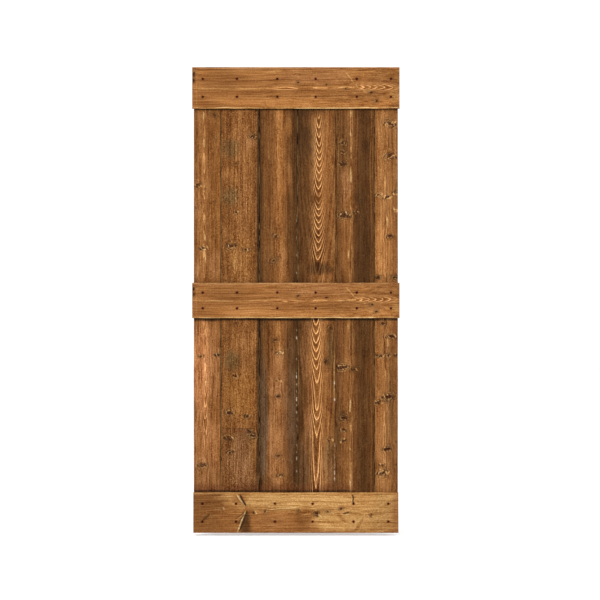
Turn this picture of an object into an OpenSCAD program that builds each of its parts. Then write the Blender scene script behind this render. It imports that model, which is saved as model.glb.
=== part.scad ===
// Sliding barn door leaf: six tongue-and-groove planks standing side by side,
// held together by three rails that are screwed on across the front.
//
// Frame: X across the door, Y through it with the rails at the front (-Y), Z up.
// The origin is the middle of the door's footprint, on its bottom edge.

/* [Door] */
// Height of the door, which is the length of every plank
door_height = 2134; // [1750:1:2600]
// Thickness of the planks
plank_t = 19; // [15:0.5:30]
// Thickness of the rails
rail_t = 19; // [15:0.5:30]

/* [Planks] */
// Width of a full plank, from joint to joint
plank_pitch = 176; // [120:1:240]
// Number of full planks between the two edge planks
full_planks = 4; // [2:1:6]
// Width of the left edge plank, from its sawn edge to the first joint
left_plank_w = 124; // [80:1:240]
// Width of the right edge plank, from the last joint to its sawn edge
right_plank_w = 108; // [80:1:240]
// Open gap between the faces of neighbouring planks
joint_gap = 0.6; // [0.2:0.1:1.5]
// Bevel on the front arris of each plank, two of which make the V of a joint
v_bevel = 2.5; // [0.5:0.1:4]
// Easing on the sawn edges and on the back arrises of the planks
plank_ease = 1; // [0.3:0.1:2]

/* [Tongue and groove] */
// Thickness of the tongue
tongue_t = 6; // [4:0.1:8]
// How far the tongue stands out of its plank
tongue_l = 7; // [4:0.1:10]
// Bevel along the tongue's tip
tongue_bevel = 1; // [0.2:0.1:1.5]
// Clearance between the tongue and each cheek of the groove
tongue_fit = 0.2; // [0.1:0.05:0.5]
// Clearance between the tongue's tip and the bottom of the groove
tongue_end_fit = 0.8; // [0.3:0.1:2]

/* [Rails] */
// Face height of the top rail
top_rail_h = 190; // [120:1:260]
// Face height of the middle rail
middle_rail_h = 162; // [100:1:240]
// Face height of the bottom rail
bottom_rail_h = 185; // [120:1:260]
// Height of the middle rail's lower edge above the bottom of the door
middle_rail_z = 984; // [600:1:1300]
// How far the top and middle rails stand out past the planks on each side
rail_overhang = 7; // [0:0.5:20]
// How far the bottom rail stands out past the planks on each side
bottom_rail_overhang = 2; // [0:0.5:20]
// Radius of the rails' eased front arrises
rail_ease = 2; // [0.5:0.1:5]

/* [Screws] */
// Outer diameter of a screw's thread
screw_d = 4.2; // [3:0.1:6]
// How far a screw's point reaches into its plank
screw_bite = 13.4; // [8:0.1:13.5]
// Length of the screw's point
point_l = 6; // [3:0.1:8]
// Diameter of the countersunk head
head_d = 8; // [7:0.1:12]
// Height of the straight rim round the head
head_rim = 0.5; // [0.2:0.1:1]
// How far the head is sunk below the face of the rail
head_sink = 0.4; // [0:0.1:2]
// Radial clearance between a screw and its hole
screw_fit = 0.15; // [0.05:0.05:0.5]
// Distance between the two rows of screws in the top and bottom rails
wide_row_pitch = 82; // [40:1:100]
// Distance between the two rows of screws in the middle rail
middle_row_pitch = 72; // [40:1:80]

/* [Hidden] */
$fn = 48;
eps = 0.01;

// How far each pair of screws was driven from the middle of its plank, left to right
upper_screw_shift = [-20, -14, -5, -5, 7, 22];
bottom_screw_shift = [-22, -18, -16, -19, -8, 10];
// Each screw was driven this many degrees further round than the one before it
recess_turn = 37;
// Cross recess: span, width and depth of its wings, then its tapered core
wing_span = 4.4;
wing_w = 0.9;
wing_depth = 1.1;
core_d = 2.4;
core_tip_d = 0.8;
core_depth = 2.1;
// Diameter of a screw at the very tip of its point
point_tip_d = 0.4;
// Depth left free beyond the screw's point
pilot_end = 1;

// Stain colours: the planks from left to right, the rails, and the black screws
plank_colours = [
    [0.5, 0.32, 0.19], [0.46, 0.32, 0.17], [0.42, 0.29, 0.17],
    [0.43, 0.28, 0.15], [0.36, 0.24, 0.14], [0.52, 0.33, 0.18]
];
upper_rail_colour = [0.55, 0.34, 0.18];
bottom_rail_colour = [0.5, 0.34, 0.17];
screw_colour = [0.1, 0.09, 0.085];

plank_count = full_planks + 2;
all_planks = [0 : plank_count - 1];
panel_w = left_plank_w + full_planks * plank_pitch + right_plank_w;
door_depth = plank_t + rail_t;
front_y = -door_depth / 2;
joint_plane_y = front_y + rail_t; // where the rails' backs meet the planks' faces

top_rail_middle = door_height - top_rail_h / 2;
middle_rail_middle = middle_rail_z + middle_rail_h / 2;
bottom_rail_middle = bottom_rail_h / 2;

screw_l = rail_t - head_sink + screw_bite;
head_cone_h = (head_d - screw_d) / 2; // the head's cone is a 90 degree one
hole_d = screw_d + 2 * screw_fit;
sink_d = head_d + 2 * screw_fit;

// X of joint i, counted from the left edge (0) to the right edge (plank_count)
function joint_x(i) = -panel_w / 2
    + (i == 0 ? 0 : i == plank_count ? panel_w : left_plank_w + (i - 1) * plank_pitch);
function plank_middle(i) = (joint_x(i) + joint_x(i + 1)) / 2;
function shift_of(shifts, i) = i < len(shifts) ? shifts[i] : 0;

// Section of plank i in the XY plane, with its face at y = 0 and its back at y = plank_t.
// The left side is grooved and the right side tongued, except at the door's edges.
function plank_section(i) =
    let (
        first = i == 0,
        last = i == plank_count - 1,
        left = joint_x(i) + (first ? 0 : joint_gap / 2),
        right = joint_x(i + 1) - (last ? 0 : joint_gap / 2),
        left_bevel = first ? plank_ease : v_bevel,
        right_bevel = last ? plank_ease : v_bevel,
        middle = plank_t / 2,
        cheek = tongue_t / 2 + tongue_fit,
        groove_end = left + tongue_l - joint_gap + tongue_end_fit,
        tip = right + tongue_l,
        tongue_front = middle - tongue_t / 2,
        tongue_back = middle + tongue_t / 2
    )
    concat(
        [[right - right_bevel, 0], [left + left_bevel, 0], [left, left_bevel]],
        first ? [] : [
            [left, middle - cheek], [groove_end, middle - cheek],
            [groove_end, middle + cheek], [left, middle + cheek]
        ],
        [[left, plank_t - plank_ease], [left + plank_ease, plank_t]],
        [[right - plank_ease, plank_t], [right, plank_t - plank_ease]],
        last ? [] : [
            [right, tongue_back], [tip - tongue_bevel, tongue_back],
            [tip, tongue_back - tongue_bevel], [tip, tongue_front + tongue_bevel],
            [tip - tongue_bevel, tongue_front], [right, tongue_front]
        ],
        [[right, right_bevel]]
    );

// Puts its children at the two screws through each of these planks, on the rail's face
// with the screw pointing along +Y. z is the middle of the rail.
module at_screws(planks, z, row_pitch, shifts) {
    for (i = planks, row = [0, 1])
        translate([plank_middle(i) + shift_of(shifts, i), front_y, z + (row - 1 / 2) * row_pitch])
            rotate([0, (2 * i + row) * recess_turn, 0])
                children();
}

module at_top_screws(planks = all_planks) {
    at_screws(planks, top_rail_middle, wide_row_pitch, upper_screw_shift) children();
}

module at_middle_screws(planks = all_planks) {
    at_screws(planks, middle_rail_middle, middle_row_pitch, upper_screw_shift) children();
}

module at_bottom_screws(planks = all_planks) {
    at_screws(planks, bottom_rail_middle, wide_row_pitch, bottom_screw_shift) children();
}

// Round bar or cone along +Y from y, d1 across where it starts and d2 where it ends
module bar_y(y, length, d1, d2) {
    translate([0, y, 0]) rotate([-90, 0, 0]) cylinder(h = length, d1 = d1, d2 = d2);
}

// Cross recess cut into a head whose top is at y = 0
module recess() {
    for (turn = [0, 90])
        rotate([0, turn, 0])
            translate([-wing_span / 2, -eps, -wing_w / 2])
                cube([wing_span, wing_depth + eps, wing_w]);
    bar_y(0, core_depth, core_d, core_tip_d);
}

// One countersunk screw, with the rail's face at y = 0. Its thread is a plain bar here.
module screw() {
    cone_end = head_rim + head_cone_h;
    point_start = screw_l - point_l;
    translate([0, head_sink, 0])
        difference() {
            union() {
                bar_y(0, head_rim, head_d, head_d);
                bar_y(head_rim, head_cone_h, head_d, screw_d);
                bar_y(cone_end, point_start - cone_end, screw_d, screw_d);
                bar_y(point_start, point_l, screw_d, point_tip_d);
            }
            recess();
        }
}

// The countersunk hole that one screw goes into, through the rail and into the plank
module screw_hole() {
    rim_end = head_sink + head_rim + screw_fit;
    bar_y(-eps, rim_end + eps, sink_d, sink_d);
    bar_y(rim_end, (sink_d - hole_d) / 2, sink_d, hole_d);
    bar_y(0, head_sink + screw_l + pilot_end, hole_d, hole_d);
}

// Plank i, with a pilot hole for each of its screws
module plank(i) {
    color(plank_colours[i % len(plank_colours)])
        difference() {
            translate([0, joint_plane_y, 0])
                linear_extrude(door_height) polygon(plank_section(i));
            at_top_screws([i]) screw_hole();
            at_middle_screws([i]) screw_hole();
            at_bottom_screws([i]) screw_hole();
        }
}

// Rectangle w by rail_t with its two front corners rounded, front at y = 0
module eased_section(w) {
    translate([-w / 2, rail_ease]) square([w, rail_t - rail_ease]);
    translate([rail_ease - w / 2, 0]) square([w - 2 * rail_ease, rail_t]);
    for (side = [-1, 1])
        translate([side * (w / 2 - rail_ease), rail_ease]) circle(rail_ease);
}

// Flat board across the door with its middle at z, standing out past the planks by
// overhang on each side and eased along all four of its front arrises
module rail_board(height, z, overhang) {
    length = panel_w + 2 * overhang;
    translate([0, front_y, z])
        intersection() {
            translate([0, 0, -height / 2])
                linear_extrude(height) eased_section(length);
            translate([-length / 2, 0, 0])
                rotate([90, 0, 90])
                    linear_extrude(length) rotate(-90) eased_section(height);
        }
}

module top_rail() {
    color(upper_rail_colour)
        difference() {
            rail_board(top_rail_h, top_rail_middle, rail_overhang);
            at_top_screws() screw_hole();
        }
}

module middle_rail() {
    color(upper_rail_colour)
        difference() {
            rail_board(middle_rail_h, middle_rail_middle, rail_overhang);
            at_middle_screws() screw_hole();
        }
}

module bottom_rail() {
    color(bottom_rail_colour)
        difference() {
            rail_board(bottom_rail_h, bottom_rail_middle, bottom_rail_overhang);
            at_bottom_screws() screw_hole();
        }
}

module top_rail_screws() {
    color(screw_colour) at_top_screws() screw();
}

module middle_rail_screws() {
    color(screw_colour) at_middle_screws() screw();
}

module bottom_rail_screws() {
    color(screw_colour) at_bottom_screws() screw();
}

for (i = all_planks)
    plank(i);
top_rail();
middle_rail();
bottom_rail();
top_rail_screws();
middle_rail_screws();
bottom_rail_screws();
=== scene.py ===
"""Looks of the plank barn door: detailed boards and screws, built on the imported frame.

The object frame is the CAD's, in metres: X across the door, -Y its railed front, Z up.
A board has a frame of its own, in millimetres: "across" the grain from its left or lower
edge, "along" the grain from its lower or left end, and "deep" behind its front face.
A spot on its face is (a, g): a is how far across it is, and g how far along the grain.
"""

import math

import bpy
import numpy as np
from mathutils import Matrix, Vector


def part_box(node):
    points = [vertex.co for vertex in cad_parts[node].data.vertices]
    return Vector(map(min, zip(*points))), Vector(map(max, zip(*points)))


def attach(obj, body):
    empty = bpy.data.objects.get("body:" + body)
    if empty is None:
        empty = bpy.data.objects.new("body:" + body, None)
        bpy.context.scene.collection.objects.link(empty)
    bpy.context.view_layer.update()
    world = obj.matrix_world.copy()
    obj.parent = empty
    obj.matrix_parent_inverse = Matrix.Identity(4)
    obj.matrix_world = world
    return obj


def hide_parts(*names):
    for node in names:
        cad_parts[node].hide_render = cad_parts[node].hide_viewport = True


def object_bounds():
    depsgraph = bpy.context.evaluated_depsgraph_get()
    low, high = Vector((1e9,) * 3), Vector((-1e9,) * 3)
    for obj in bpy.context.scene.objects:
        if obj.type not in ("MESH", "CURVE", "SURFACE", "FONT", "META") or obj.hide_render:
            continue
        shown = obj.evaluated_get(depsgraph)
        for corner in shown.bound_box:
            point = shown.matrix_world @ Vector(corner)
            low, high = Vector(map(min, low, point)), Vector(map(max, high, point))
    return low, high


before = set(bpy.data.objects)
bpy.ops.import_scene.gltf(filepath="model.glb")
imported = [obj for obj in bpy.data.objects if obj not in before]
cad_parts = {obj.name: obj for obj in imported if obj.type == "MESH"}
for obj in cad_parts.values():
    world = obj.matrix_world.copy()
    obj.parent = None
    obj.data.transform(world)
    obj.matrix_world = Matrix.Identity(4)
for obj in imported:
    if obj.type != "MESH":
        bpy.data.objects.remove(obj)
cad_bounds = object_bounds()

MM = 0.001
SCENE = bpy.context.scene
DOOR_LOW, DOOR_HIGH = Vector(cad_bounds[0]), Vector(cad_bounds[1])
DOOR_MIDDLE = (DOOR_LOW + DOOR_HIGH) / 2


def new_object(name, data):
    thing = bpy.data.objects.new(name, data)
    SCENE.collection.objects.link(thing)
    return thing


def new_mesh(name, shape):
    """A mesh in metres of a shape, which is (vertices, faces)."""
    mesh = bpy.data.meshes.new(name)
    verts, faces = shape
    mesh.from_pydata(verts, [], faces)
    return mesh


# ---- camera, light and stage

LENS = 200.0
SENSOR = 36.0
VIEW_SIZE = 2.7487  # what the frame takes in at the door's front
CAMERA_SIDE = 0.019  # the door stands a little left of the middle of the view
LAMPS = {"key": ((-4.2, -6.0, 4.8), 2.2, 360), "fill": ((4.8, -6.2, 4.0), 3.0, 270)}  # place, size, watts
WORLD_LIGHT = 1.1
FLOOR_DROP = 0.012  # the door hangs just clear of its floor
FLOOR_REACH = 40.0


def camera():
    data = bpy.data.cameras.new("camera")
    data.lens = LENS
    data.sensor_width = SENSOR
    data.clip_end = 100
    eye = new_object("camera", data)
    eye.location = (CAMERA_SIDE, DOOR_LOW.y - VIEW_SIZE * LENS / SENSOR, DOOR_MIDDLE.z)
    eye.rotation_euler = (math.pi / 2, 0, 0)
    SCENE.camera = eye


def lights():
    world = bpy.data.worlds.new("world")
    world.use_nodes = True
    sky = world.node_tree.nodes["Background"]
    sky.inputs["Color"].default_value = (1, 1, 1, 1)
    sky.inputs["Strength"].default_value = WORLD_LIGHT
    SCENE.world = world
    for name, (place, size, watts) in LAMPS.items():
        data = bpy.data.lights.new(name, "AREA")
        data.shape = "DISK"
        data.size = size
        data.energy = watts
        lamp = new_object(name, data)
        lamp.location = place
        lamp.rotation_euler = (DOOR_MIDDLE - Vector(place)).to_track_quat("-Z", "Y").to_euler()
    SCENE.view_settings.view_transform = "Standard"


def stage():
    """One flat pale floor: nothing stands behind the door, so it is seen from every side."""
    z = DOOR_LOW.z - FLOOR_DROP
    corners = [(x * FLOOR_REACH, y * FLOOR_REACH, z) for x, y in ((-1, -1), (1, -1), (1, 1), (-1, 1))]
    ground = new_object("floor", new_mesh("floor", (corners, [(0, 1, 2, 3)])))
    paper = bpy.data.materials.new("pale_paper")
    n = Nodes(paper)
    shade = n.span(n.noise(n.add("TexCoord", output=3), 3.0, 2), 0.3, 0.7, 0.925, 0.94)
    n.surface(n.add("CombineColor", shade, shade, shade), 0.95, 1.02)
    ground.data.materials.append(paper)


# ---- shader nodes


class Nodes:
    """Adds shader nodes to a material. Each call gives back an output socket."""

    def __init__(self, material):
        material.use_nodes = True
        self.tree = material.node_tree
        self.tree.nodes.clear()

    def put(self, socket, value):
        if isinstance(value, bpy.types.NodeSocket):
            self.tree.links.new(value, socket)
        elif value is not None:
            socket.default_value = value

    def add(self, kind, *values, output=0, **settings):
        node = self.tree.nodes.new("ShaderNode" + kind)
        for key, value in settings.items():
            setattr(node, key, value)
        for socket, value in zip(node.inputs, values):
            self.put(socket, value)
        return node.outputs[output]

    def parts(self, vector):
        """The three numbers of a vector."""
        return self.add("SeparateXYZ", vector).node.outputs

    def math(self, operation, *values):
        return self.add("Math", *values, operation=operation)

    def times(self, a, b):
        return self.math("MULTIPLY", a, b)

    def total(self, *values):
        result = values[0]
        for value in values[1:]:
            result = self.math("ADD", result, value)
        return result

    def attribute(self, name, output):
        return self.add("Attribute", attribute_name=name, output=output)

    def stretch(self, vector, x, y, z):
        return self.add("VectorMath", vector, (x, y, z), operation="MULTIPLY")

    def noise(self, vector, scale, detail=2.0, roughness=0.5):
        node = self.tree.nodes.new("ShaderNodeTexNoise")
        self.put(node.inputs["Vector"], vector)
        node.inputs["Scale"].default_value = scale
        node.inputs["Detail"].default_value = detail
        node.inputs["Roughness"].default_value = roughness
        return node.outputs[0]

    def grain(self, heart, cross, along, detail=2, roughness=0.5):
        """Noise in the wood: how many blobs a metre it has across the grain and along it."""
        return self.noise(self.stretch(heart, cross, cross, along), 1.0, detail, roughness)

    def around(self, value, amount):
        """A 0 to 1 noise value turned into one that swings by amount round nought."""
        return self.times(self.math("SUBTRACT", value, 0.5), amount)

    def span(self, value, low, high, to_low=0.0, to_high=1.0):
        """value from low to high, smoothly turned into to_low to to_high."""
        return self.add("MapRange", value, low, high, to_low, to_high, interpolation_type="SMOOTHSTEP")

    def curve(self, value, points):
        """A grey value that goes straight through each (position, grey) point."""
        node = self.tree.nodes.new("ShaderNodeValToRGB")
        stops = node.color_ramp.elements
        stops.remove(stops[1])
        for number, (position, grey) in enumerate(points):
            stop = stops.new(position) if number else stops[0]
            stop.position, stop.color = position, (grey, grey, grey, 1)
        self.put(node.inputs[0], value)
        return node.outputs[0]

    def mix(self, share, a, b, blend="MIX"):
        node = self.tree.nodes.new("ShaderNodeMix")
        node.data_type = "RGBA"
        node.blend_type = blend
        for name, value in (("Factor_Float", share), ("A_Color", a), ("B_Color", b)):
            self.put(next(s for s in node.inputs if s.identifier == name), value)
        return next(s for s in node.outputs if s.identifier == "Result_Color")

    def surface(self, colour, roughness, index, height=None, depth=0.0):
        """A dull surface: its index near 1 keeps the white surroundings off its far edges."""
        shader = self.tree.nodes.new("ShaderNodeBsdfPrincipled")
        self.put(shader.inputs["Base Color"], colour)
        self.put(shader.inputs["Roughness"], roughness)
        shader.inputs["IOR"].default_value = index
        if height is not None:
            bump = self.tree.nodes.new("ShaderNodeBump")
            bump.inputs["Strength"].default_value = 1.0
            bump.inputs["Distance"].default_value = depth
            self.put(bump.inputs["Height"], height)
            self.put(shader.inputs["Normal"], bump.outputs[0])
        end = self.tree.nodes.new("ShaderNodeOutputMaterial")
        self.put(end.inputs["Surface"], shader.outputs[0])


# ---- stain colours

STAINS = {  # as they look in plain light, 0 to 255
    "pitch": (38, 23, 13),
    "soot": (76, 48, 24),
    "umber": (95, 60, 29),
    "slate": (102, 73, 50),
    "ash": (116, 92, 74),
    "olive": (104, 79, 47),
    "walnut": (117, 74, 37),
    "bark": (131, 83, 42),
    "rust": (122, 70, 38),
    "dusk": (133, 88, 54),
    "chestnut": (141, 90, 45),
    "saddle": (150, 98, 53),
    "clay": (157, 107, 67),
    "honey": (161, 105, 57),
    "amber": (170, 113, 62),
    "ochre": (164, 108, 52),
    "rose": (179, 120, 75),
    "pink": (196, 130, 83),
    "orange": (188, 127, 71),
    "tan": (192, 141, 85),
    "wheat": (205, 156, 97),
    "apricot": (226, 168, 108),
    "straw": (226, 180, 116),
    "cream": (240, 205, 148),
    "chalk": (226, 206, 182),
}
STEP = 0.06  # each + or - after a stain's name makes it this much lighter or darker
STAIN_DEPTH = np.array([0.50, 0.485, 0.435])  # how much of its look the wood reflects under these lamps


def linear(value):
    value = np.asarray(value, float)
    return np.where(value <= 0.04045, value / 12.92, ((np.maximum(value, 0) + 0.055) / 1.055) ** 2.4)


def stain(name):
    """The colour of a stain such as "bark" or "bark-", 0 to 1."""
    steps = name.count("+") - name.count("-")
    return np.array(STAINS[name.rstrip("+-")]) / 255 * (1 + STEP * steps)


def node_colour(name):
    """A stain as a shader's colour."""
    return (*linear(stain(name)), 1)


# ---- the nine boards
#
# bands    stain from edge to edge: (across, stain)
# washes   soft ovals of stain: (across, along, half width, half length, stain, strength)
# strokes  soft lines: (across, along, across, along, half width, stain, strength)
# dashes   rows of short lines: (across, from, to, pitch, half width, stain, strength)
# knots    (across, along, radius, darkness, swirl[, tilt]): how strongly the grain shows round
#          it, and how many degrees its long axis leans from lying across the board
# heart    the tree's heart behind the face: its place across and its depth, each (along, value)
# shows    where the rings stand out pale: (across, half width, from, to, strength)
# grime    painted shadow of the rails on the planks, black lines across the grain: (along, how far across, half width, stain, strength)
# step     (along, stain, strength) where the wood below is darker
# seams    how dirty the left and right joints are
# ring     distance between growth rings; line is the width of their pale lines, even how alike
#          these are, band how dark the rings' edges are, warp how wavy the rings are, and keel
#          how far they are drawn out to a point
# streak, flame, cloud, speckle    how uneven the stain is, from long streaks to small specks

PLAIN = dict(
    line=2.0, even=0.3, band=1.0, warp=1.0, keel=0, streak=1.55, flame=0.9, cloud=0.9, speckle=0.6,
    seams=(0, 0), step=None, dashes=(), grime=(),
)
BOARDS = {}
BOARDS["plank_1"] = dict(
    PLAIN, seed=1, ring=2.7, seams=(0, 0.75),
    bands=[
        (0, "bark"), (12, "saddle-"), (30, "saddle+"), (60, "saddle"), (95, "chestnut"), (124, "chestnut+"),
    ],
    washes=[
        (60, 1850, 90, 110, "bark+", 0.6), (16, 1540, 26, 90, "clay+", 0.5),
        (34, 760, 50, 230, "pink", 0.95), (100, 760, 36, 230, "rose-", 0.6),
        (60, 420, 80, 170, "rose", 0.7), (60, 250, 80, 90, "clay", 0.6), (120, 860, 10, 130, "bark", 0.5),
        (8, 1880, 10, 120, "bark-", 0.5), (92, 1230, 34, 70, "clay+", 0.6),
        (20, 1210, 30, 50, "clay+", 0.5),
    ],
    strokes=[
        (46, 1930, 46, 1898, 2.2, "cream", 0.8), (47, 1805, 48, 1770, 2.2, "cream", 0.7),
        (45, 1598, 46, 1560, 2.0, "cream", 0.6), (48, 1455, 48, 1415, 2.2, "cream", 0.7),
        (50, 1368, 50, 1340, 2.2, "cream", 0.7), (51, 1286, 52, 1242, 2.2, "cream", 0.7),
        (54, 950, 55, 900, 1.8, "straw", 0.5), (53, 700, 53, 674, 2.4, "cream", 0.7),
        (115, 850, 117, 810, 2.0, "straw", 0.5),
    ],
    knots=[
        (93, 1917, 12, 0.75, 0.3), (96, 1806, 8, 0.35, 0.2), (17, 1591, 9, 0.7, 0.9),
        (90, 1520, 5, 0.6, 0.2), (8, 1485, 6, 0.5, 0.2), (45, 1305, 9, 0.95, 0.9), (32, 808, 7, 0.7, 0.8),
        (112, 815, 9, 0.95, 0.5), (38, 307, 13, 0.8, 0.5),
    ],
    shows=[(48, 7, 1160, 1960, 0.75), (54, 11, 400, 960, 0.9)],
    heart=(
        [(0, 60), (700, 53), (2134, 46)],
        [
            (0, 20), (250, 30), (450, 24), (760, 9), (980, 18), (1290, 8), (1500, 16), (1680, 9),
            (1900, 14), (2134, 10),
        ],
    ),
)
BOARDS["plank_2"] = dict(
    PLAIN, seed=2, ring=3.1, speckle=1.0, seams=(0.4, 0.8), step=(477, "dusk", 1.0),
    bands=[
        (0, "bark-"), (8, "bark+"), (40, "bark"), (60, "chestnut"), (85, "saddle"), (118, "saddle"),
        (136, "chestnut"), (158, "bark"), (167, "umber"), (176, "soot-"),
    ],
    washes=[
        (44, 1762, 38, 46, "olive", 0.6), (44, 1542, 42, 50, "olive", 0.6),
        (50, 786, 42, 56, "olive", 0.65), (128, 1787, 26, 34, "clay+", 0.6),
        (150, 888, 22, 46, "honey", 0.6), (112, 620, 50, 120, "ochre", 0.65),
        (134, 215, 44, 34, "umber", 0.85), (50, 640, 40, 110, "ochre-", 0.6),
        (90, 1250, 70, 110, "ochre-", 0.45), (40, 1650, 44, 30, "saddle+", 0.5),
        (30, 1400, 40, 40, "saddle", 0.5), (120, 1900, 50, 40, "bark+", 0.4),
        (76, 330, 76, 100, "clay-", 0.8), (110, 250, 60, 50, "clay", 0.6),
    ],
    strokes=[
        (69, 1780, 68, 1500, 1.6, "straw", 0.35), (66, 1280, 62, 1200, 2.6, "straw", 0.5),
        (160, 1930, 160, 1170, 3.0, "honey", 0.45), (160, 960, 160, 200, 2.6, "honey", 0.4),
        (4, 500, 4, 210, 2.4, "honey", 0.5), (142, 1845, 150, 1812, 5.0, "umber", 0.7),
        (2, 477, 168, 477, 2.2, "umber-", 0.8), (10, 466, 150, 464, 5.0, "rust", 0.6),
        (118, 474, 158, 442, 5.0, "pitch", 0.75),
    ],
    dashes=[
        (70, 1180, 1780, 21, 1.8, "wheat", 0.5), (112, 500, 760, 19, 1.6, "wheat", 0.4),
        (60, 210, 420, 23, 1.8, "wheat", 0.45), (130, 1200, 1900, 31, 1.6, "wheat", 0.35),
    ],
    knots=[
        (150, 1815, 11, 1.0, 0.4), (69, 1694, 6, 0.8, 0.3), (69, 1469, 7, 0.75, 0.4),
        (48, 1313, 12, 0.95, 0.9), (114, 1298, 9, 0.8, 0.6), (69, 959, 7, 0.8, 0.2), (21, 889, 4, 0.7, 0.1),
        (66, 715, 7, 0.8, 0.6), (37, 551, 12, 1.0, 0.7), (120, 532, 10, 0.9, 0.4), (37, 435, 13, 0.8, 0.8),
        (142, 446, 15, 1.0, 0.5), (40, 368, 8, 0.95, 0.6),
    ],
    shows=[(66, 9, 1160, 1300, 0.5), (80, 60, 200, 1900, 0.06)],
    heart=([(0, 60), (2134, 72)], [(0, 34), (400, 28), (700, 36), (1250, 22), (1700, 30), (2134, 26)]),
)
BOARDS["plank_3"] = dict(
    PLAIN, seed=3, ring=3.6, seams=(0.8, 0.7),
    bands=[
        (0, "pitch"), (5, "soot"), (14, "umber+"), (26, "walnut"), (45, "bark-"), (63, "bark"),
        (80, "saddle"), (96, "amber"), (108, "honey"), (120, "chestnut-"), (136, "walnut"), (155, "umber"),
        (176, "soot-"),
    ],
    washes=[
        (134, 1864, 18, 50, "chestnut+", 0.7), (135, 1630, 16, 52, "saddle", 0.65),
        (94, 1918, 20, 30, "orange", 0.5), (96, 1740, 18, 170, "orange-", 0.6),
        (147, 1400, 36, 170, "umber", 0.6), (106, 1240, 26, 80, "clay+", 0.5),
        (112, 1430, 18, 130, "bark", 0.5), (80, 1480, 24, 60, "honey", 0.4),
        (84, 925, 22, 50, "honey", 0.5), (76, 700, 44, 150, "rose-", 0.75),
        (74, 400, 46, 200, "clay++", 0.85), (130, 600, 40, 420, "dusk", 0.5),
        (20, 520, 20, 330, "ash-", 0.75), (146, 560, 22, 340, "ash--", 0.5),
        (150, 860, 34, 110, "umber-", 0.6), (20, 960, 20, 40, "olive-", 0.4),
        (36, 960, 30, 60, "bark-", 0.5),
    ],
    strokes=[
        (33, 1900, 33, 1180, 1.8, "umber", 0.55), (41, 1900, 41, 1180, 1.8, "saddle", 0.5),
        (49, 1900, 50, 1180, 1.8, "umber", 0.5), (57, 1900, 57, 1200, 1.6, "saddle", 0.35),
        (40, 960, 41, 700, 1.8, "umber", 0.5), (48, 960, 49, 720, 1.6, "amber", 0.35),
        (132, 700, 134, 200, 1.8, "bark+", 0.5), (22, 1510, 30, 1494, 2.0, "tan", 0.5),
        (52, 800, 60, 720, 2.0, "umber", 0.3),
    ],
    dashes=[
        (78, 200, 840, 17, 2.0, "tan", 0.5), (100, 200, 840, 23, 1.8, "wheat", 0.45),
        (66, 240, 700, 27, 1.6, "umber", 0.4), (98, 1200, 1900, 29, 1.8, "wheat", 0.4),
        # painted highlights: the chalk rows are pale dashes beside the right joint, where its bevel catches
        # the light
        (172.6, 200, 940, 31, 3.4, "chalk", 1.0), (172.6, 1170, 1500, 40, 2.8, "chalk-", 0.8),
    ],
    knots=[
        (73, 1359, 11, 0.8, 0.4), (66, 1247, 13, 1.0, 0.3), (73, 882, 10, 0.85, 0.3),
        (92, 824, 9, 0.7, 0.9), (86, 625, 9, 0.95, 0.2), (86, 352, 10, 0.8, 0.3), (94, 262, 8, 0.6, 0.8),
        (60, 838, 5, 0.5, 0.3), (90, 700, 6, 0.5, 0.7),
    ],
    shows=[(86, 60, 200, 1940, 0.08)],
    heart=([(0, 88), (2134, 84)], [(0, 12), (500, 18), (900, 10), (1300, 20), (1800, 14), (2134, 18)]),
)
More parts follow.
